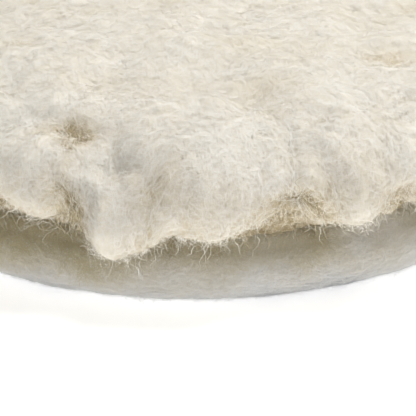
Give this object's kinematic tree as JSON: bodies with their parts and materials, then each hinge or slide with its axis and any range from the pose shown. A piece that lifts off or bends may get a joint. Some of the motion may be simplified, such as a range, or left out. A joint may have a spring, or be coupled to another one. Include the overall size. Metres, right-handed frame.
{
  "type": "wool polishing pad",
  "caption": "Round single-sided wool polishing pad: deep tufted pile face, short wool side band, foam core and a hook-and-loop back with a centring recess.",
  "frame": {"origin": "centre of the loop face, at the bottom of the bounding box", "axes": "+Z out of the loop face through the pad towards the wool working face; the side band's butt joint is at +Y"},
  "size_m": [0.1945, 0.1942, 0.0521],
  "materials": {
    "long_wool": "natural cream wool pile",
    "short_wool": "sheared natural wool",
    "hide": "undyed tanned skin",
    "foam": "open-cell foam",
    "glue": "dried adhesive film",
    "cloth": "plain woven cloth",
    "loop": "brushed loop pile",
    "thread": "twisted polyester thread"
  },
  "bodies": {
    "root": {"face_fleece": "long_wool", "band_fleece": "short_wool", "face_hide": "hide", "band_hide": "hide", "foam_core": "foam", "upper_glue_film": "glue", "lower_glue_film": "glue", "backing_cloth": "cloth", "loop_disc": "loop", "band_joint_thread": "thread", "rim_seam_thread": "thread", "hem_seam_thread": "thread", "inner_stitch_thread": "thread", "outer_stitch_thread": "thread"}
  },
  "joints": []
}
